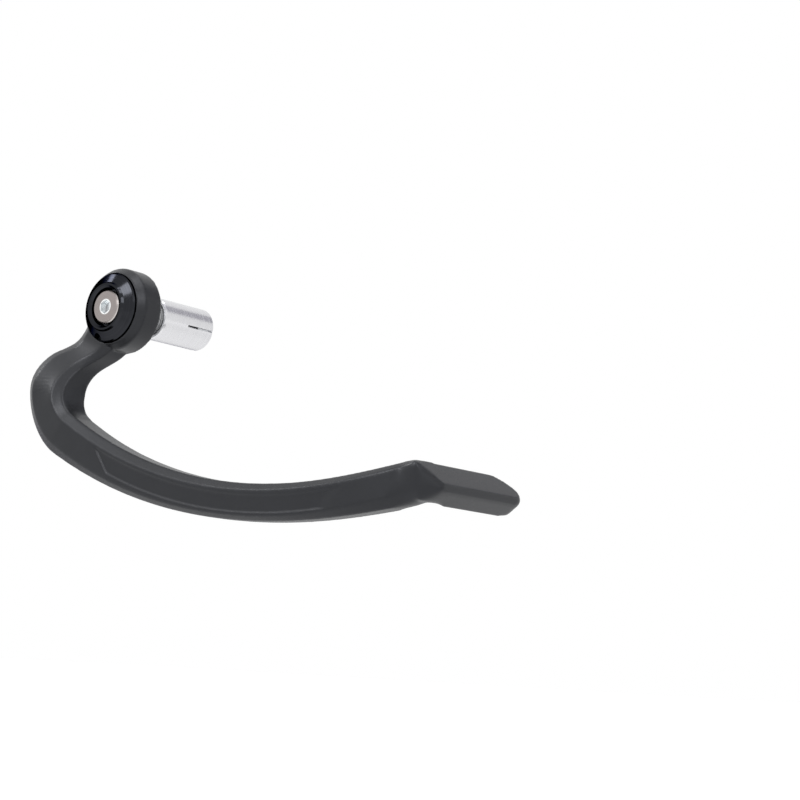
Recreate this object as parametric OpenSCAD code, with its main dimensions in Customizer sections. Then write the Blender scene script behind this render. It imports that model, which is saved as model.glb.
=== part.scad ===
// Bar-end lever guard, right-hand (brake) side, in the place it has on the bar.
// X runs along the handlebar and points outboard, Y points forward and Z points up.
// The origin is on the bar's axis, in the plane where the bar's end meets the flange.

/* [Ring] */
// Outer diameter of the arm's ring
ring_d = 34; // [31:0.5:40]
// Length of the ring's straight cylinder
ring_cyl_l = 8.4; // [6:0.2:10]
// Length of the bevel on the bar side, along the axis
ring_back_bevel_l = 1.3; // [0.6:0.1:3]
// Radial depth of the bevel on the bar side
ring_back_bevel_d = 4.9; // [1:0.1:5.5]
// Length of the bevel on the cap side, along the axis
ring_front_bevel_l = 3.3; // [1.5:0.1:4]
// Depth of the recess that the end cap sits in
cap_recess = 1.5; // [0.8:0.1:2.4]
// Radial running clearance of the ring on the bush
swivel_clearance = 0.05; // [0.02:0.01:0.1]

/* [Neck and elbow] */
// Heading of the neck as it leaves the ring, in degrees from forward
neck_a = -118; // [-124:1:-110]
// Inner radius of the elbow
elbow_r = 14; // [11:0.5:17]
// Forward place of the elbow's centre
elbow_y = 1.4; // [0:0.2:4]
// Height of the elbow's centre below the bar's axis
elbow_z = 32.6; // [30:0.2:36]
// Heading where the elbow ends
elbow_end_a = -32; // [-36:1:-28]
// Depth of the neck beside the ring, seen from the side
neck_t = 13.7; // [11:0.1:16]
// Depth of the heel of the elbow
heel_t = 18.4; // [17:0.2:22]
// Depth of the arm where the elbow ends
elbow_t = 17.7; // [14:0.1:19]
// Outboard reach of the elbow's flat face from the bar's end
elbow_x = 28.6; // [22:0.2:34]
// Width of the arm at the elbow
elbow_w = 12.8; // [12:0.2:17]

// Swell of the bar-side edge into the bend of the elbow
elbow_swell = 3.2; // [1:0.1:4]

/* [Run] */
// Radius of the run's inner side
run_r = 191; // [170:1:215]
// Heading of the run where the fold begins
kink_a = 16.5; // [12:0.1:20]
// Radius of the fold at the paddle, over its inner side
fold_r = 18; // [17:0.5:24]
// Depth of the run at its waist
waist_t = 13.9; // [10:0.2:16]
// Depth of the run where it meets the paddle
kink_t = 15.8; // [12:0.2:18]
// Width of the run
run_w = 11.6; // [9:0.2:14]
// Width of the run's flat face
face_w = 8.4; // [6:0.2:9]
// Even drift of the run towards the bar side, from elbow to paddle
run_lean = 10.5; // [6:0.5:14]
// Further drift of the flat face where the run bends in to the paddle
run_hook = 6.6; // [4:0.1:10]
// Further drift of the bar side there, which makes the arm wider at the fold
fold_spread = 1.2; // [0:0.1:2]
// Height of the inner chamfer at the elbow, seen from the side
chamfer_d = 3.7; // [2:0.1:4.5]
// Height of the inner chamfer at the paddle
chamfer_end_d = 2.2; // [1:0.1:3]
// Depth of the inner and outer chamfers, along the bar
chamfer_x = 2.4; // [1.2:0.1:3]
// Bevel between the inner side and the bar side, along the bar
edge_bevel = 1.1; // [0.6:0.1:1.8]
// Bevel between the outer side and the bar side
outer_bevel = 3.4; // [1:0.1:4.5]
// Height of the bevel between the inner side and the bar side, on the run
inner_bevel_d = 1.8; // [0.6:0.1:2.4]

/* [Paddle] */
// Width of the paddle
paddle_w = 13.2; // [11:0.2:16]
// Thickness of the paddle
paddle_t = 9.4; // [5:0.1:10]
// Tilt of the paddle's inner face, in degrees below forward
paddle_a = 46; // [38:1:54]
// Reach of the paddle's tip past the bar's end, towards the bar
paddle_reach = 48.2; // [38:0.1:56]
// Length of the slanting cut at the tip's rear corner
tip_rear_cut = 10.8; // [6:0.2:14]
// Width of that cut, across the paddle
tip_rear_w = 7.4; // [4:0.2:9]
// Size of the round at the tip's front corner
tip_front_cut = 3.4; // [2:0.2:5]
// Length of the cut across the outboard corner, at the inner face
corner_cut = 8.6; // [5:0.2:12]
// Length of that cut at the underside
corner_low_cut = 1; // [0.6:0.2:5]
// Bevel round the paddle's inner face
paddle_bevel = 1.6; // [0.8:0.1:2.4]
// Bevel round the front of the paddle's underside
paddle_low_bevel = 0.8; // [0.4:0.1:1.6]
// Slant of the paddle's rear side, in towards the underside
paddle_draft = 1.4; // [0.4:0.1:2.4]

/* [Bar-end bush] */
// Diameter of the flange that the bar's end meets
flange_d = 24; // [22:0.5:26]
// Thickness of the flange
flange_t = 1.2; // [0.8:0.1:2.5]
// Diameter of the spigot that the ring turns on
spigot_d = 14; // [12:0.5:16]
// Diameter of the neck between flange and sleeve
bush_neck_d = 12.8; // [12:0.1:13.6]
// Gap between flange and sleeve
sleeve_gap = 8.6; // [3:0.2:12]
// Length of the bush's cone
bush_cone_l = 7; // [5:0.5:9]

/* [Expander sleeve] */
// Outer diameter of the sleeve, as it goes into the bar
sleeve_d = 17.8; // [16.5:0.1:20]
// Length of the sleeve
sleeve_l = 29; // [26:0.5:36]
// Diameter of the sleeve's plain bore
sleeve_bore_d = 12.4; // [12:0.1:13]
// Wall of the sleeve at its mouths
mouth_wall = 1.2; // [1:0.1:1.6]
// Depth of each mouth, to the end of its taper
mouth_l = 8; // [6:0.5:10]
// Depth of the straight part of a mouth, which takes the nut's rim
mouth_step = 2.4; // [1:0.1:3]
// Number of slots
slot_n = 4; // [2:1:6]
// Width of a slot
slot_w = 0.9; // [0.5:0.1:1.5]
// Length of a slot
slot_l = 15.6; // [12:0.2:18]
// Turn of the first slot from forward
slot_turn = -10; // [-40:1:40]

/* [Cone nut] */
// Diameter of the nut's knurled rim
nut_rim_d = 15.2; // [13.6:0.1:15.4]
// Length of the rim that stands out of the sleeve
nut_out = 0.8; // [0.3:0.1:3]
// Length of the nut's cone
nut_cone_l = 7; // [5:0.5:9]
// Number of knurls round the rim
knurl_n = 36; // [18:1:48]
// Depth of a knurl
knurl_d = 0.3; // [0.1:0.05:0.4]

/* [Clamp bolt] */
// Diameter of the bolt's shank
bolt_d = 8; // [6:0.5:8.5]
// Diameter of the bolt's head
head_d = 14; // [12:0.2:15]
// Thickness of the head
head_t = 2.5; // [1.8:0.1:3]
// Width across flats of the socket
socket_af = 5; // [4:0.5:6]
// Depth of the socket
socket_depth = 3.2; // [2:0.1:4]
// Length of shank that stands out past the nut
bolt_past = 1.5; // [0.5:0.1:3]

/* [End cap] */
// Diameter of the cap
cap_d = 28.2; // [26:0.2:29]
// Height of the cap's straight skirt
cap_skirt_l = 2; // [1.7:0.1:3]
// Outer diameter of the cap's raised rim
cap_rim_d = 19.2; // [18:0.2:21]
// Height of the cap from its seat to the top of the rim
cap_h = 5.1; // [4.6:0.1:6]
// Diameter of the recess round the bolt's head
cap_well_d = 16; // [15.2:0.2:17]
// Depth from the rim to the seat of the bolt's head
cap_well_depth = 3; // [2.6:0.1:3.6]
// Radius of the notch in the skirt
notch_r = 2.2; // [1:0.1:3]
// Turn of the notch from forward
notch_turn = -112; // [-180:1:180]

/* [Hidden] */
$fn = 96;
bolt_clearance = 0.06;
seat_clearance = 0.15;
// How far a cut is drawn past the face it opens
over = 1;
// Half the diagonal of the tool that presses a knurl
knurl_w = 0.6;

// Places along the bar
ring_x0 = flange_t;
ring_x1 = ring_x0 + ring_back_bevel_l;
ring_x2 = ring_x1 + ring_cyl_l;
ring_x3 = ring_x2 + ring_front_bevel_l;
cap_x0 = ring_x3 - cap_recess;
cap_x1 = cap_x0 + cap_h;
head_x0 = cap_x1 - cap_well_depth;
sleeve_x1 = -sleeve_gap;
sleeve_x0 = sleeve_x1 - sleeve_l;
nut_x0 = sleeve_x0 - nut_out;

// Lengths along the arm, counted on its inner side from the start of the elbow
deg = 180 / PI;
elbow_l = elbow_r * (elbow_end_a - neck_a) / deg;
run_l = run_r * (kink_a - elbow_end_a) / deg;
fold_end_a = -2.6;
fold_l = fold_r * (kink_a - fold_end_a) / deg;
fold_at = elbow_l + run_l;
arm_l = fold_at + fold_l;
neck_l = 20;

// Centres of the arcs that the inner side follows, as [forward, up]
elbow_c = [elbow_y, -elbow_z];
run_c = elbow_c + (elbow_r - run_r) * side(elbow_end_a);
fold_c = run_c + (run_r + fold_r) * side(kink_a);

function side(a) = [sin(a), -cos(a)];
function ahead(a) = [cos(a), sin(a)];
function smooth(t) = t <= 0 ? 0 : t >= 1 ? 1 : t * t * (3 - 2 * t);

function heading(s) =
    s < 0 ? neck_a
    : s < elbow_l ? neck_a + s / elbow_r * deg
    : s < fold_at ? elbow_end_a + (s - elbow_l) / run_r * deg
    : kink_a - (s - fold_at) / fold_r * deg;

function inner_side(s) =
    let (a = heading(s))
    s < 0 ? elbow_c + elbow_r * side(neck_a) + s * ahead(neck_a)
    : s < elbow_l ? elbow_c + elbow_r * side(a)
    : s < fold_at ? run_c + run_r * side(a)
    : fold_c - fold_r * side(a);

// Share of the run that lies behind a place
function along(s) = min(1, max(0, (s - elbow_l) / run_l));

// Depth of the arm seen from the side: slim at the ring, deep at the heel, waisted on the run
waist_at = 0.6;
heel_at = 3.5;
heel_rise_l = 13;
heel_fall_l = 13;
function depth_at(s) =
    s < heel_at ? heel_t - (heel_t - neck_t) * smooth((heel_at - s) / heel_rise_l)
    : s < elbow_l ? elbow_t + (heel_t - elbow_t) * (1 - smooth((s - heel_at) / heel_fall_l))
    : along(s) < waist_at ? waist_t + (elbow_t - waist_t) * pow(1 - along(s) / waist_at, 1.6)
    : waist_t + (kink_t - waist_t) * pow((along(s) - waist_at) / (1 - waist_at), 2);

// Rise from the ring to the elbow, from 0 to 1, by the distance from the bar's axis
rise_from = 14;
rise_to = 42;
outer_lag = 0.2;
ring_step = 0.3;
neck_front_x = ring_x3 - ring_step;
neck_back_x = ring_x1 + ring_step;
slim_share = 0.25;
function rise(p, d) = smooth((norm(p) - outer_lag * d - rise_from) / (rise_to - rise_from));

// Drift towards the bar side along the run; its hook is closer to the fold on the flat face
face_power = 9;
back_power = 7;
function drift(s, hook, power) = run_lean * along(s) + hook * pow(along(s), power);
function face_x(s, r) =
    neck_front_x + (elbow_x - neck_front_x) * r - drift(s, run_hook, face_power);
function back_x(s, r) =
    neck_back_x + (elbow_x - elbow_w - neck_back_x) * r
    - drift(s, run_hook + fold_spread, back_power)
    + (elbow_w - run_w) * smooth(along(s) / slim_share);

// Extra depth on the inner side, where the neck flows into the ring
flare_d = 5;
flare_l = 14;
function flare(s) = flare_d * smooth(-s / flare_l);

// Swell of the bar-side edge past the inner side: most in the bend, none on the run
neck_swell = 1;
swell_l = 14;
function swell(s) =
    s < elbow_l / 2 ? neck_swell + (elbow_swell - neck_swell) * smooth(1 - (elbow_l / 2 - s) / swell_l)
    : elbow_swell * (1 - smooth((s - elbow_l / 2) / swell_l));

// Distance of the outer edge of the flat face from the inner side
outer_edge = 3.9;
function face_end(s) =
    s < elbow_l ? depth_at(s) - outer_edge
    : chamfer_d + face_w
      + (elbow_t - chamfer_d - face_w - outer_edge) * (1 - smooth(along(s) / waist_at));

// One section of the arm: each corner as its depth from the inner side, its distance
// from the face or the back along the bar, and whether it is counted from the back.
// The bevels on the bar side are small on the neck and grow before the run.
neck_bevel_d = 0.4;
bevel_from = -15;
bevel_l = 40;
function section(s) =
    let (t = depth_at(s), f = -flare(s), grown = smooth((s - bevel_from) / bevel_l),
         c = chamfer_d + (chamfer_end_d - chamfer_d) * along(s), w = f - swell(s),
         b = neck_bevel_d + (inner_bevel_d - neck_bevel_d) * grown,
         o = edge_bevel + (outer_bevel - edge_bevel) * grown)
    [[f, chamfer_x, false], [f + c, 0, false], [face_end(s), 0, false], [t, chamfer_x, false],
     [t, o, true], [t - o, 0, true], [w + b, 0, true], [w, min(b, edge_bevel), true]];

function placed(s) =
    let (p = inner_side(s), n = side(heading(s)))
    [for (v = section(s))
        let (q = p + v[0] * n, r = rise(q, v[0]))
        [v[2] ? back_x(s, r) + v[1] : face_x(s, r) - v[1], q[0], q[1]]];

// Places of the sections: close on the neck and elbow, wider apart on the long arcs
function steps(a, b, n) = [for (i = [0 : n - 1]) a + (b - a) * i / n];
stations = concat(steps(-neck_l, 0, 14), steps(0, elbow_l, 22), steps(elbow_l, fold_at, 40),
    steps(fold_at, arm_l, 7), [arm_l]);

module about_axis() {
    rotate([0, 90, 0]) rotate_extrude() children();
}

// A skin through all sections, closed at both ends
module arm_sweep() {
    rings = [for (s = stations) placed(s)];
    m = len(rings[0]);
    n = len(rings);
    polyhedron(
        points = [for (r = rings) each r],
        faces = concat(
            [[for (j = [0 : m - 1]) j]],
            [for (i = [0 : n - 2], j = [0 : m - 1])
                let (a = i * m + j, b = i * m + (j + 1) % m)
                each [[b + m, b, a], [a + m, b + m, a]]],
            [[for (j = [0 : m - 1]) n * m - 1 - j]]
        ),
        convexity = 6
    );
}

// Wall of the ring round the cap, at its end face
ring_lip = 0.5;

module ring_body() {
    about_axis() polygon([
        [0, ring_x0],
        [ring_d / 2 - ring_back_bevel_d, ring_x0],
        [ring_d / 2, ring_x1],
        [ring_d / 2, ring_x2],
        [cap_d / 2 + ring_lip, ring_x3],
        [0, ring_x3]
    ]);
}

// A corner that runs from [a, 0] to [0, b]; full 1 is a straight cut and 2 an ellipse
function corner(a, b, full, n = 4) =
    [for (i = [0 : n])
        let (t = 90 * i / n)
        [a * (1 - pow(sin(t), 2 / full)), b * (1 - pow(cos(t), 2 / full))]];

// Outline of the paddle seen square to its inner face, as [along the bar, across]: in_front and
// in_rear are how far a bevel holds it in on each side, and cut is the outboard corner's length
rear_full = 1.45;
front_full = 1.9;
corner_edge = 2.2;
module paddle_outline(top_x, in_front, in_rear, in_tip, cut) {
    tip = in_tip - paddle_reach;
    w = paddle_w - in_front;
    polygon(concat(
        [for (q = corner(tip_rear_cut, tip_rear_w, rear_full)) [tip + q[0], in_rear + q[1]]],
        [for (q = corner(tip_front_cut, tip_front_cut, front_full)) [tip + q[1], w - q[0]]],
        [[top_x - cut, w], [top_x, corner_edge], [top_x, in_rear]]
    ));
}

// The paddle's planes are set in a little from those of the arm's last section
fold_set = 0.15;

// The paddle lies along the bar; its inner face starts at the fold and slopes down and forward
module paddle() {
    fold = inner_side(arm_l);
    top_x = face_x(arm_l, 1) - fold_set;
    translate([0, fold[0], fold[1]]) rotate([-paddle_a, 0, 0]) translate([0, -fold_set, -fold_set])
        hull() {
            translate([0, 0, -paddle_bevel]) linear_extrude(paddle_bevel)
                paddle_outline(top_x, paddle_bevel, 0, paddle_bevel, corner_cut);
            translate([0, 0, -2 * paddle_bevel]) linear_extrude(paddle_bevel)
                paddle_outline(top_x, 0, 0, paddle_low_bevel, corner_cut - paddle_bevel);
            translate([0, 0, -paddle_t]) linear_extrude(paddle_low_bevel)
                paddle_outline(top_x, paddle_low_bevel, paddle_draft, 0, corner_low_cut);
        }
}

// Arm: one moulding of glass-filled nylon, from the ring round the elbow to the paddle
module guard_arm() {
    color("#3a3b3e")
    difference() {
        union() {
            ring_body();
            arm_sweep();
            paddle();
        }
        // Bore that turns on the bush
        translate([ring_x0 - over, 0, 0]) rotate([0, 90, 0])
            cylinder(d = spigot_d + 2 * swivel_clearance, h = ring_x3 + 2 * over);
        // Recess for the cap
        translate([cap_x0, 0, 0]) rotate([0, 90, 0])
            cylinder(d = cap_d + 2 * seat_clearance, h = elbow_x);
    }
}

// End cap: turned, with a cone that rises to a rim round the bolt's head
module end_cap() {
    skirt_x = cap_x0 + cap_skirt_l;
    edge = 0.5;
    rim_foot = [cap_rim_d / 2 + 0.6, cap_x1 - 0.9];
    rim_in = 0.8;
    notch_in = 0.6;
    color("#17181a")
    difference() {
        about_axis() polygon([
            [bolt_d / 2 + bolt_clearance, cap_x0],
            [cap_d / 2, cap_x0],
            [cap_d / 2, skirt_x],
            [cap_d / 2 - edge, skirt_x + edge],
            rim_foot,
            [cap_rim_d / 2, cap_x1],
            [cap_rim_d / 2 - rim_in, cap_x1],
            [cap_well_d / 2, cap_x1 - rim_in],
            [cap_well_d / 2, head_x0],
            [bolt_d / 2 + bolt_clearance, head_x0]
        ]);
        rotate([notch_turn, 0, 0])
            translate([cap_x0 - over, cap_d / 2 - notch_in, 0]) rotate([0, 90, 0])
                cylinder(r = notch_r, h = cap_h + 2 * over);
    }
}

// Clamp bolt: low head with a hexagon socket, shank through the whole stack
module clamp_bolt() {
    shank_x0 = nut_x0 - bolt_past;
    head_x1 = head_x0 + head_t;
    edge = 0.7;
    color("#c9c9cc")
    difference() {
        union() {
            about_axis() polygon([
                [0, head_x0],
                [head_d / 2, head_x0],
                [head_d / 2, head_x1 - edge],
                [head_d / 2 - edge, head_x1],
                [0, head_x1]
            ]);
            translate([shank_x0, 0, 0]) rotate([0, 90, 0])
                cylinder(d = bolt_d, h = head_x0 - shank_x0);
        }
        translate([head_x1 - socket_depth, 0, 0]) rotate([0, 90, 0])
            cylinder(d = socket_af / cos(30), h = socket_depth + over, $fn = 6);
    }
}

// Radius of the sleeve's inside at a place along the bar: straight, then tapered to the bore
function mouth_at(x) =
    let (m = sleeve_d / 2 - mouth_wall, b = sleeve_bore_d / 2,
         d = min(sleeve_x1 - x, x - sleeve_x0))
    d <= mouth_step ? m
    : d >= mouth_l ? b
    : m + (b - m) * (d - mouth_step) / (mouth_l - mouth_step);

// Bar-end bush: spigot for the ring, flange for the bar's end, neck and cone for the sleeve
module bar_end_bush() {
    bore_r = bolt_d / 2 + bolt_clearance;
    nose_x = sleeve_x1 - seat_clearance - bush_cone_l;
    cone_x = sleeve_x1 - mouth_l / 2;
    spigot_x = cap_x0 - swivel_clearance;
    edge = 0.3;
    color("#d4d5d8")
    about_axis() polygon([
        [bore_r, nose_x],
        [sleeve_bore_d / 2 - 2 * seat_clearance, nose_x],
        [mouth_at(cone_x) - seat_clearance, cone_x],
        [bush_neck_d / 2, sleeve_x1],
        [bush_neck_d / 2, 0],
        [flange_d / 2 - edge, 0],
        [flange_d / 2, edge],
        [flange_d / 2, flange_t],
        [spigot_d / 2, flange_t],
        [spigot_d / 2, spigot_x],
        [bore_r, spigot_x]
    ]);
}

// Expander sleeve: a tube with a taper in both mouths, slotted from the end inside the bar
module expander_sleeve() {
    lip = 0.8;
    color("#dcdddf")
    difference() {
        about_axis() polygon([
            [mouth_at(sleeve_x0), sleeve_x0],
            [sleeve_d / 2 - lip, sleeve_x0],
            [sleeve_d / 2, sleeve_x0 + lip],
            [sleeve_d / 2, sleeve_x1 - lip],
            [sleeve_d / 2 - lip / 2, sleeve_x1],
            [mouth_at(sleeve_x1), sleeve_x1],
            [mouth_at(sleeve_x1), sleeve_x1 - mouth_step],
            [sleeve_bore_d / 2, sleeve_x1 - mouth_l],
            [sleeve_bore_d / 2, sleeve_x0 + mouth_l],
            [mouth_at(sleeve_x0), sleeve_x0 + mouth_step]
        ]);
        for (i = [0 : slot_n - 1])
            rotate([slot_turn + i * 360 / slot_n, 0, 0])
                translate([sleeve_x0 - over, 0, -slot_w / 2])
                    cube([slot_l + over, sleeve_d, slot_w]);
    }
}

// Cone nut: its cone fits the sleeve's taper, its rim is knurled to hold it while the bolt turns
module cone_nut() {
    bore_r = bolt_d / 2 + bolt_clearance;
    rim_r = nut_rim_d / 2 - seat_clearance;
    rim_x = sleeve_x0 + mouth_step;
    cone_x = sleeve_x0 + nut_cone_l;
    edge = 0.4;
    color("#d0d1d4")
    difference() {
        about_axis() polygon([
            [bore_r, nut_x0],
            [rim_r - edge, nut_x0],
            [rim_r, nut_x0 + edge],
            [rim_r, rim_x],
            [mouth_at(cone_x) - seat_clearance, cone_x],
            [bore_r, cone_x]
        ]);
        for (i = [0 : knurl_n - 1])
            rotate([i * 360 / knurl_n, 0, 0]) translate([nut_x0 - over, 0, rim_r + knurl_w - knurl_d])
                rotate([45, 0, 0]) translate([0, -knurl_w / sqrt(2), -knurl_w / sqrt(2)])
                    cube([over + nut_out + mouth_step - edge, knurl_w * sqrt(2), knurl_w * sqrt(2)]);
    }
}

guard_arm();
end_cap();
clamp_bolt();
bar_end_bush();
expander_sleeve();
cone_nut();
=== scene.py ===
import math

import bmesh
import bpy
from mathutils import Matrix, Vector


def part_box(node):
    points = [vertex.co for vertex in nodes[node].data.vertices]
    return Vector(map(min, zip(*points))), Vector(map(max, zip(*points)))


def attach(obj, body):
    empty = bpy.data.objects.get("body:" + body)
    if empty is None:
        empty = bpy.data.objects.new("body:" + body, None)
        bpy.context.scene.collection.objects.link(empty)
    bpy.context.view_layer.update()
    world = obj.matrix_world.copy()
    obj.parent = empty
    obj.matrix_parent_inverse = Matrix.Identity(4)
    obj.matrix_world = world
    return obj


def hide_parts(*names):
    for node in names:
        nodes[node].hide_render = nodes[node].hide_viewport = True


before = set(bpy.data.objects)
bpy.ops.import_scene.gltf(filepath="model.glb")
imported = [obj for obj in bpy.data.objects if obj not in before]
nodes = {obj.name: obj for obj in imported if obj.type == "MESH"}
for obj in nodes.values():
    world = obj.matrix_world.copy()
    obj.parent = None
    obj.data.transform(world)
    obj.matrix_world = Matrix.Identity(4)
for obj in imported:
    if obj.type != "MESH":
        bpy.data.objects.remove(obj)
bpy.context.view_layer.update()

# Bar-end bush: turned from aluminium bar. Its flange meets the end of the handlebar, its
# spigot carries the arm's ring, and its cone goes into the sleeve. It stays as the lathe
# left it, so fine rings run round every face.
MM = 0.001


def linear(hex_colour):
    """sRGB hex to the linear colour that shaders take."""
    parts = [int(hex_colour[i:i + 2], 16) / 255 for i in (1, 3, 5)]
    return [c / 12.92 if c <= 0.04045 else ((c + 0.055) / 1.055) ** 2.4 for c in parts] + [1.0]


def node(tree, kind, settings=None, **inputs):
    """Adds a node: settings are its properties, inputs are values or other nodes' outputs.

    An input goes by its name, or by its number where names repeat, as i0 and i1.
    """
    made = tree.nodes.new(kind)
    for name, value in (settings or {}).items():
        setattr(made, name, value)
    for name, value in inputs.items():
        key = int(name[1:]) if name[1:].isdigit() else name.replace("_", " ")
        socket = made.inputs[key]
        if isinstance(value, bpy.types.NodeSocket):
            tree.links.new(value, socket)
        else:
            socket.default_value = value
    return made


def finish(name, **looks):
    """A new material: its tree and its shader, with the looks that are even all over."""
    material = bpy.data.materials.new(name)
    material.use_nodes = True
    tree = material.node_tree
    shader = tree.nodes["Principled BSDF"]
    for key, value in looks.items():
        shader.inputs[key.replace("_", " ")].default_value = value
    return material, tree, shader


def axis_radius(tree):
    """Distance from the bar's axis, and place along it, in metres."""
    place = node(tree, "ShaderNodeTexCoord").outputs["Object"]
    split = node(tree, "ShaderNodeSeparateXYZ", Vector=place)
    y, z = split.outputs["Y"], split.outputs["Z"]
    y_squared = node(tree, "ShaderNodeMath", {"operation": "MULTIPLY"}, i0=y, i1=y)
    both = node(tree, "ShaderNodeMath", {"operation": "MULTIPLY_ADD"},
                i0=z, i1=z, i2=y_squared.outputs[0])
    root = node(tree, "ShaderNodeMath", {"operation": "SQRT"}, i0=both.outputs[0])
    return root.outputs[0], split.outputs["X"]


# A noise goes from 0 to 1 but stays between these two for most of a surface.
NOISE_LOW, NOISE_HIGH = 0.3, 0.7
RING_DETAIL = 2.0
RING_UNEVEN = 0.6
# Between the rings a turned face is glossier, and on them duller, than its mean roughness.
GLOSSIER, DULLER = 0.8, 1.25
RING_RELIEF = 0.5


def tool_rings(tree, pitch):
    """Turning marks: rings about the bar's axis, on ends and on outer faces alike."""
    radius, along = axis_radius(tree)
    path = node(tree, "ShaderNodeMath", {"operation": "ADD"}, i0=radius, i1=along)
    return node(tree, "ShaderNodeTexNoise", {"noise_dimensions": "1D"}, W=path.outputs[0],
                Scale=1 / pitch, Detail=RING_DETAIL, Roughness=RING_UNEVEN).outputs["Fac"]


def turned_metal(name, colour, dark, roughness, pitch, depth):
    """Turned metal: rings of the tool's feed, with a colour and a gloss that follow them."""
    material, tree, shader = finish(name, Metallic=1.0)
    rings = tool_rings(tree, pitch)
    tint = node(tree, "ShaderNodeMix", {"data_type": "RGBA"}, i0=rings,
                i6=linear(dark), i7=linear(colour))
    tree.links.new(tint.outputs[2], shader.inputs["Base Color"])
    gloss = node(tree, "ShaderNodeMapRange", Value=rings, From_Min=NOISE_LOW,
                 From_Max=NOISE_HIGH, To_Min=roughness * GLOSSIER, To_Max=roughness * DULLER)
    tree.links.new(gloss.outputs["Result"], shader.inputs["Roughness"])
    bump = node(tree, "ShaderNodeBump", Height=rings, Strength=RING_RELIEF, Distance=depth)
    tree.links.new(bump.outputs["Normal"], shader.inputs["Normal"])
    return material


def dress(piece, material):
    """Gives a piece or a CAD node one material."""
    piece.data.materials.clear()
    piece.data.materials.append(material)


# Turned aluminium, unpolished: pale and dull, with close rings that break up its reflections.
# The feed of a fine finishing cut is about 0.1 mm; it is drawn 0.25 mm wide so that it shows.
FEED = 0.25 * MM
FEED_DEPTH = 0.012 * MM
dress(nodes["bar_end_bush"], turned_metal(
    "turned aluminium, bush", colour="#e4e5e6", dark="#cfd0d2",
    roughness=0.55, pitch=FEED, depth=FEED_DEPTH))

# Expander sleeve: drawn aluminium tube, bored with a taper at each mouth and slit from the
# end that goes into the bar, so that the nut's cone can spread it. Its skin is left satin.

# Drawn aluminium, satin: brighter than the bush, with faint bands round it, about 1.2 mm
# wide, as a polishing belt leaves them.
BAND = 1.2 * MM
BAND_DEPTH = 0.004 * MM
dress(nodes["expander_sleeve"], turned_metal(
    "drawn aluminium, satin sleeve", colour="#dedee0", dark="#cfcfd2",
    roughness=0.25, pitch=BAND, depth=BAND_DEPTH))

# Cone nut: turned aluminium with a knurled rim, which bites on the sleeve so that the nut
# draws in and doesn't turn. The bolt's thread runs through it.

# Turned aluminium: a little greyer than the sleeve, with the rings of the lathe.
dress(nodes["cone_nut"], turned_metal(
    "turned aluminium, cone nut", colour="#d2d3d6", dark="#a9abae",
    roughness=0.28, pitch=FEED, depth=FEED_DEPTH))

# Guard arm: ring, neck, bowed run and paddle in one moulding of glass-filled nylon. Its edges
# are softly rounded, as the mould gives them, and a shallow panel is sunk in the flat face of
# the run. The ring turns on the bush's spigot.
MERGE = 1e-6
VOXEL = 0.5 * MM
SOFTEN = 0.5
EDGE_ROUNDS = 5
BLEND_ROUNDS = 200
# Where the form flows together: the place in mm, how far round it the blend is full and
# where it has faded out, in mm, and its strength. The first two are the fold between run and
# paddle, the third is the paddle's lower tip and the last is the peak of the fold.
BLENDS = (((10.4, 154.8, -76.0), 5.5, 10, 1), ((4.5, 155.5, -81.0), 5.5, 10, 1),
          ((-46.5, 159.0, -79.5), 1.5, 7, 0.8), ((10.0, 155.9, -65.7), 1.5, 6, 0.2))
# The panel, as (y, z): two arcs about one centre, and a line through two points at each end.
RUN_CENTRE = (95.2 * MM, 117.5 * MM)
PANEL_TOP_R = 195.2 * MM
PANEL_LOW_R = 202.3 * MM
PANEL_START = ((12.33 * MM, -61.81 * MM), (18.6 * MM, -71.28 * MM))
PANEL_END = ((129.63 * MM, -73.45 * MM), (125.6 * MM, -81.0 * MM))
PANEL_DEPTH = 0.5 * MM
PANEL_WALL = 0.7 * MM
PANEL_FADE = 6 * MM
# The flat face is what looks along +X, within about 30 degrees.
FACES_OUT = 0.85
# The ring's bore is brought back to its true radius, as the voxels leave it rough.
BORE_R = 7.055 * MM
BORE_REACH = 8 * MM


def beside(line, y, z):
    """Distance from a line to a point, positive on the line's forward side."""
    (y0, z0), (y1, z1) = line
    length = math.hypot(y1 - y0, z1 - z0)
    return ((z1 - z0) * (y0 - y) - (y1 - y0) * (z0 - z)) / length


def panel_sink(y, z):
    """How deep the flat face is sunk at a point: nothing outside the panel's outline.

    The wall round the panel eases in and out, and fades at the panel's end.
    """
    r = math.hypot(y - RUN_CENTRE[0], z - RUN_CENTRE[1])
    inside = min(r - PANEL_TOP_R, PANEL_LOW_R - r, beside(PANEL_START, y, z),
                 -beside(PANEL_END, y, z) * PANEL_WALL / PANEL_FADE)
    share = min(max(inside / PANEL_WALL, 0), 1)
    return PANEL_DEPTH * share * share * (3 - 2 * share)


def settle(piece):
    """Makes a piece's modifiers part of its mesh."""
    seen = piece.evaluated_get(bpy.context.evaluated_depsgraph_get())
    made = bpy.data.meshes.new_from_object(seen)
    piece.modifiers.clear()
    piece.data = made
    return made


def smooth(piece, name, rounds):
    """Adds a modifier that evens out the surface."""
    made = piece.modifiers.new(name, "SMOOTH")
    made.factor = SOFTEN
    made.iterations = rounds
    return made


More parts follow.
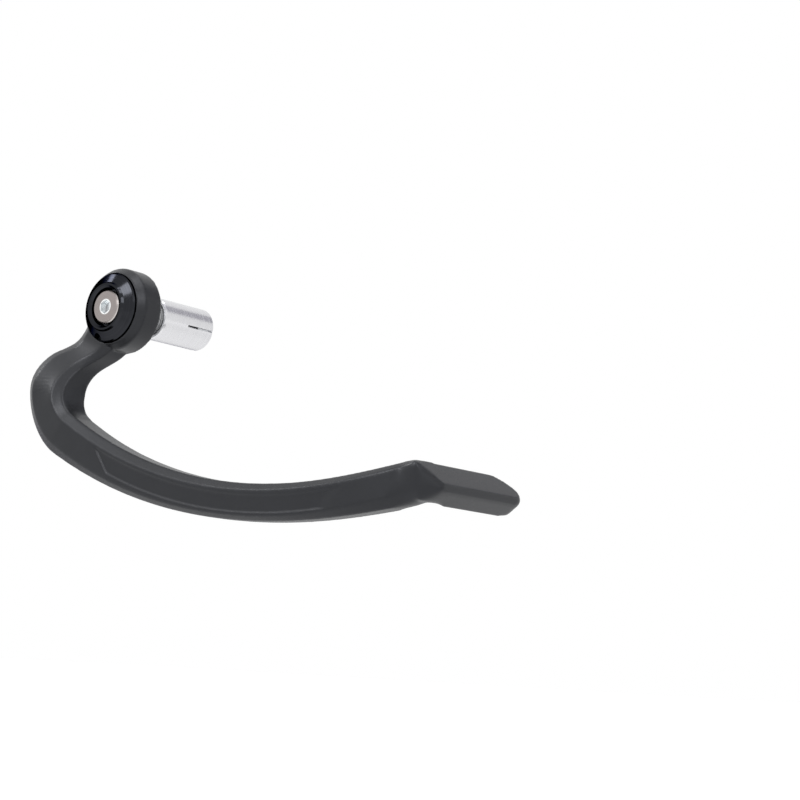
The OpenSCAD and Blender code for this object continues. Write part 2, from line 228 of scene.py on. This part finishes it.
def arm_skin(cad_node):
    """The arm's solid with its edges and its fold softened, its panel sunk and its bore true."""
    mesh = cad_node.data.copy()
    raw = bmesh.new()
    raw.from_mesh(mesh)
    bmesh.ops.remove_doubles(raw, verts=raw.verts, dist=MERGE)
    raw.to_mesh(mesh)
    raw.free()
    skin = bpy.data.objects.new("arm_skin", mesh)
    bpy.context.scene.collection.objects.link(skin)
    remesh = skin.modifiers.new("voxels", "REMESH")
    remesh.mode = "VOXEL"
    remesh.voxel_size = VOXEL
    smooth(skin, "soft edges", EDGE_ROUNDS)
    made = settle(skin)

    fold = skin.vertex_groups.new(name="fold")
    for vertex in made.vertices:
        place = [value / MM for value in vertex.co]
        weight = max(share * min(1, (far - math.dist(place, spot)) / (far - near))
                     for spot, near, far, share in BLENDS)
        if weight > 0:
            fold.add([vertex.index], weight, "REPLACE")
    smooth(skin, "blended fold", BLEND_ROUNDS).vertex_group = fold.name
    made = settle(skin)

    outboard = [vertex.index for vertex in made.vertices if vertex.normal.x > FACES_OUT]
    for index in outboard:
        spot = made.vertices[index].co
        spot.x -= panel_sink(spot.y, spot.z)
    for vertex in made.vertices:
        r = math.hypot(vertex.co.y, vertex.co.z)
        if r < BORE_REACH:
            vertex.co.y *= BORE_R / r
            vertex.co.z *= BORE_R / r
    made.shade_smooth()
    return skin


arm = arm_skin(nodes["guard_arm"])

# Glass-filled nylon: a satin black with a cool sheen. The mould's grain, 0.4 mm, breaks up
# the gloss, and soft clouds of about 9 mm show where the fibres lie near the skin.
GRAIN = 0.4 * MM
GRAIN_DETAIL = 3.0
GRAIN_UNEVEN = 0.55
GRAIN_LOW, GRAIN_HIGH = 0.35, 0.65
GRAIN_RELIEF = 0.35
GRAIN_DEPTH = 0.02 * MM
CLOUD = 9 * MM
CLOUD_DETAIL = 5.0
CLOUD_UNEVEN = 0.65
NYLON_GLOSSY, NYLON_DULL = 0.31, 0.42
nylon, tree, shader = finish("glass-filled nylon, moulded", Specular_IOR_Level=0.42,
                             Specular_Tint=linear("#eceef5"))
place = node(tree, "ShaderNodeTexCoord").outputs["Object"]
grain = node(tree, "ShaderNodeTexNoise", Vector=place, Scale=1 / GRAIN,
             Detail=GRAIN_DETAIL, Roughness=GRAIN_UNEVEN)
cloud = node(tree, "ShaderNodeTexNoise", Vector=place, Scale=1 / CLOUD,
             Detail=CLOUD_DETAIL, Roughness=CLOUD_UNEVEN)
tint = node(tree, "ShaderNodeMix", {"data_type": "RGBA"}, i0=cloud.outputs["Fac"],
            i6=linear("#131416"), i7=linear("#1f2023"))
tree.links.new(tint.outputs[2], shader.inputs["Base Color"])
sheen = node(tree, "ShaderNodeMapRange", Value=grain.outputs["Fac"], From_Min=GRAIN_LOW,
             From_Max=GRAIN_HIGH, To_Min=NYLON_GLOSSY, To_Max=NYLON_DULL)
tree.links.new(sheen.outputs["Result"], shader.inputs["Roughness"])
bump = node(tree, "ShaderNodeBump", Height=grain.outputs["Fac"], Strength=GRAIN_RELIEF,
            Distance=GRAIN_DEPTH)
tree.links.new(bump.outputs["Normal"], shader.inputs["Normal"])
dress(arm, nylon)
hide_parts("guard_arm")
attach(arm, "arm")

# End cap: turned from aluminium and black anodised. It sits in the ring's recess, its cone
# rises to a rim round the bolt's head, and it spreads the bolt's pull over the bush.

# Black anodised aluminium, polished: a deep black mirror that shows the lamps as clear
# windows and stays dark at its edges. Fine turning rings, 0.35 mm apart, soften them a little.
CAP_FEED = 0.35 * MM
CAP_RELIEF = 0.1
CAP_FEED_DEPTH = 0.005 * MM
anodised, tree, shader = finish("black anodised aluminium, polished", Metallic=1.0,
                                Roughness=0.12, Specular_Tint=linear("#909096"))
rings = tool_rings(tree, CAP_FEED)
bump = node(tree, "ShaderNodeBump", Height=rings, Strength=CAP_RELIEF, Distance=CAP_FEED_DEPTH)
tree.links.new(bump.outputs["Normal"], shader.inputs["Normal"])
tint = node(tree, "ShaderNodeMix", {"data_type": "RGBA"}, i0=rings,
            i6=linear("#292a2d"), i7=linear("#323337"))
tree.links.new(tint.outputs[2], shader.inputs["Base Color"])
dress(nodes["end_cap"], anodised)

# Clamp bolt: zinc-plated steel with a low head and a hexagon socket. It goes through cap and
# bush and pulls the nut into the sleeve.

# Zinc-plated steel: the turned flat of the head is a warm grey and the head's rim a lighter
# grey. The socket and the ring at its mouth are a painted highlight, coloured near white,
# brighter than steel, and a painted shade makes them a little darker deeper in the socket.
SOCKET_MOUTH_R = 3.1 * MM
HEAD_RIM_R = 6.6 * MM
FADE = 0.15 * MM
HEAD_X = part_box("clamp_bolt")[1][0]
HEAD_DEPTH = 2.6 * MM
SOCKET_SHADE = 1.2 * MM
HEAD_FEED = 0.3 * MM
HEAD_RELIEF = 0.4
HEAD_FEED_DEPTH = 0.008 * MM
BARE_ROUGHNESS, FLAT_ROUGHNESS = 0.18, 0.36
plated, tree, shader = finish("zinc-plated steel, turned head", Metallic=1.0)
radius, along = axis_radius(tree)
mouth = node(tree, "ShaderNodeMapRange", Value=radius, From_Min=SOCKET_MOUTH_R,
             From_Max=SOCKET_MOUTH_R + FADE)
rim = node(tree, "ShaderNodeMapRange", Value=radius, From_Min=HEAD_RIM_R,
           From_Max=HEAD_RIM_R + FADE, To_Min=1.0, To_Max=0.0)
flat = node(tree, "ShaderNodeMath", {"operation": "MULTIPLY"},
            i0=mouth.outputs["Result"], i1=rim.outputs["Result"])
rings = tool_rings(tree, HEAD_FEED)
warm = node(tree, "ShaderNodeMix", {"data_type": "RGBA"}, i0=rings,
            i6=linear("#8c8583"), i7=linear("#a29b99"))
# Painted shade: the socket's near white darkens a little towards its bottom.
depth = node(tree, "ShaderNodeMapRange", Value=along, From_Min=HEAD_X - SOCKET_SHADE,
             From_Max=HEAD_X)
# Painted highlight: the socket and the ring at its mouth are coloured near white.
well = node(tree, "ShaderNodeMix", {"data_type": "RGBA"}, i0=depth.outputs["Result"],
            i6=linear("#f4f8f9"), i7=linear("#fbfdfd"))
socket_highlight_and_rim = node(tree, "ShaderNodeMix", {"data_type": "RGBA"}, i0=mouth.outputs["Result"],
            i6=well.outputs[2], i7=linear("#b9b4b2"))
face = node(tree, "ShaderNodeMix", {"data_type": "RGBA"}, i0=flat.outputs[0],
            i6=socket_highlight_and_rim.outputs[2], i7=warm.outputs[2])
head = node(tree, "ShaderNodeMapRange", Value=along, From_Min=HEAD_X - HEAD_DEPTH - FADE,
            From_Max=HEAD_X - HEAD_DEPTH)
tint = node(tree, "ShaderNodeMix", {"data_type": "RGBA"}, i0=head.outputs["Result"],
            i6=linear("#c6c7c9"), i7=face.outputs[2])
tree.links.new(tint.outputs[2], shader.inputs["Base Color"])
gloss = node(tree, "ShaderNodeMapRange", Value=flat.outputs[0], To_Min=BARE_ROUGHNESS,
             To_Max=FLAT_ROUGHNESS)
tree.links.new(gloss.outputs["Result"], shader.inputs["Roughness"])
bump = node(tree, "ShaderNodeBump", Height=rings, Strength=HEAD_RELIEF,
            Distance=HEAD_FEED_DEPTH)
tree.links.new(bump.outputs["Normal"], shader.inputs["Normal"])
dress(nodes["clamp_bolt"], plated)

# Stage: a white sweep well below the part, which is held by its mount, two pale cards and four
# soft lamps. The cards are seen in reflections only, where they draw the soft bands that a
# studio gives to bright metal.
FLOOR_Z = -0.32
FLOOR_REACH = 30.0
# The paper's own white keeps the shadow near the part. Far off, where the lamps don't reach,
# the paper is lifted to white.
SHADOW_REACH = 0.7
FAR_WHITE = 2.2
NEAR_LIFT, FAR_LIFT = 0.3, 0.68
# The world lights the part at the first strength and shows as plain white at the second.
WORLD_LIGHT, WORLD_WHITE = 0.5, 1.0
# Each card runs along X between these two, and from its near to its far (y, z) edge.
CARD_FROM, CARD_TO = -1.5, 0.1
CARDS = (("card_above", (0.46, 0.44), (0.1, 0.62)),
         ("card_behind", (-0.62, -0.3), (-0.7, -0.06)))


def white_behind(tree):
    """One for the rays that should find the plain white background, else nothing."""
    path = node(tree, "ShaderNodeLightPath")
    straight = node(tree, "ShaderNodeMath", {"operation": "MAXIMUM"},
                    i0=path.outputs["Is Camera Ray"], i1=path.outputs["Is Glossy Ray"])
    return node(tree, "ShaderNodeMath", {"operation": "MAXIMUM"},
                i0=straight.outputs[0], i1=path.outputs["Is Transmission Ray"]).outputs[0]


def sheet(name, corners, material):
    """A flat four-cornered sheet of the stage."""
    mesh = bpy.data.meshes.new(name)
    mesh.from_pydata(corners, [], [(0, 1, 2, 3)])
    made = bpy.data.objects.new(name, mesh)
    bpy.context.scene.collection.objects.link(made)
    dress(made, material)
    return made


def softbox(name, place, target, size, watts):
    """A rectangular lamp that faces target."""
    lamp = bpy.data.lights.new(name, "AREA")
    lamp.shape = "RECTANGLE"
    lamp.size, lamp.size_y = size
    lamp.energy = watts
    holder = bpy.data.objects.new(name, lamp)
    holder.location = place
    aim = Vector(target) - Vector(place)
    holder.rotation_euler = aim.to_track_quat("-Z", "Y").to_euler()
    bpy.context.scene.collection.objects.link(holder)


# Matt white paper: even and without gloss, so that only the soft shadow shows on it.
paper, tree, shader = finish("matt white paper", Base_Color=linear("#f4f4f4"), Roughness=0.9)
away = node(tree, "ShaderNodeVectorMath", {"operation": "LENGTH"},
            Vector=node(tree, "ShaderNodeTexCoord").outputs["Object"])
lift = node(tree, "ShaderNodeMapRange", Value=away.outputs["Value"], From_Min=SHADOW_REACH,
            From_Max=FAR_WHITE, To_Min=NEAR_LIFT, To_Max=FAR_LIFT)
share = node(tree, "ShaderNodeMath", {"operation": "MULTIPLY"},
             i0=lift.outputs["Result"], i1=white_behind(tree))
glow = node(tree, "ShaderNodeEmission", Color=linear("#ffffff"), Strength=share.outputs[0])
both = node(tree, "ShaderNodeAddShader", i0=shader.outputs["BSDF"], i1=glow.outputs["Emission"])
tree.links.new(both.outputs["Shader"], tree.nodes["Material Output"].inputs["Surface"])
sheet("floor", [(x * FLOOR_REACH, y * FLOOR_REACH, FLOOR_Z)
                for x, y in ((-1, -1), (1, -1), (1, 1), (-1, 1))], paper)

# Pale grey card: dead matt, a shade darker than the white round it.
felt, tree, shader = finish("grey card", Base_Color=linear("#dddce4"), Roughness=1.0,
                            Specular_IOR_Level=0.0)
for name, near, far in CARDS:
    card = sheet(name, [(CARD_FROM, *near), (CARD_TO, *near), (CARD_TO, *far),
                        (CARD_FROM, *far)], felt)
    card.visible_camera = False
    card.visible_diffuse = False
    card.visible_shadow = False

world = bpy.data.worlds.new("studio")
bpy.context.scene.world = world
world.use_nodes = True
tree = world.node_tree
sky = tree.nodes["Background"]
level = node(tree, "ShaderNodeMapRange", Value=white_behind(tree), To_Min=WORLD_LIGHT,
             To_Max=WORLD_WHITE)
tree.links.new(level.outputs["Result"], sky.inputs["Strength"])
sky.inputs["Color"].default_value = linear("#ffffff")

# The side lamp stands where the cap's cone mirrors it as a window, the left one where the
# crease along the run does, and none where the bolt's flat would be blown out by it.
softbox("overhead", place=(0.05, 0.3, 0.95), target=(0, 0.07, -0.04), size=(0.5, 0.5), watts=4)
softbox("side", place=(0.8, -0.1, 0.59), target=(0, 0, -0.02), size=(0.26, 0.5), watts=3)
softbox("front", place=(0.5, 0.75, 0.5), target=(0, 0.06, -0.03), size=(0.4, 0.4), watts=2)
softbox("left", place=(0.36, -0.72, 0.66), target=(0, 0.02, -0.02), size=(0.2, 0.2), watts=1.8)

# Camera: the view that the photograph has of this guard, about ten degrees from below.
PIXELS_WIDE = 800
FOCAL_PIXELS = 1879.354
SENSOR_MM = 36
CAMERA_PLACE = (0.53242, 0.55125, -0.13908)
CAMERA_RIGHT = Vector((-0.60501, 0.79439, 0.05388))
CAMERA_UP = Vector((0.14625, 0.04435, 0.98825))
lens = bpy.data.cameras.new("camera")
lens.sensor_width = SENSOR_MM
lens.lens = FOCAL_PIXELS / PIXELS_WIDE * SENSOR_MM
camera = bpy.data.objects.new("camera", lens)
turn = Matrix((CAMERA_RIGHT, CAMERA_UP, CAMERA_RIGHT.cross(CAMERA_UP))).transposed().to_4x4()
camera.matrix_world = Matrix.Translation(CAMERA_PLACE) @ turn
bpy.context.scene.collection.objects.link(camera)
bpy.context.scene.camera = camera
bpy.context.scene.view_settings.view_transform = "Standard"
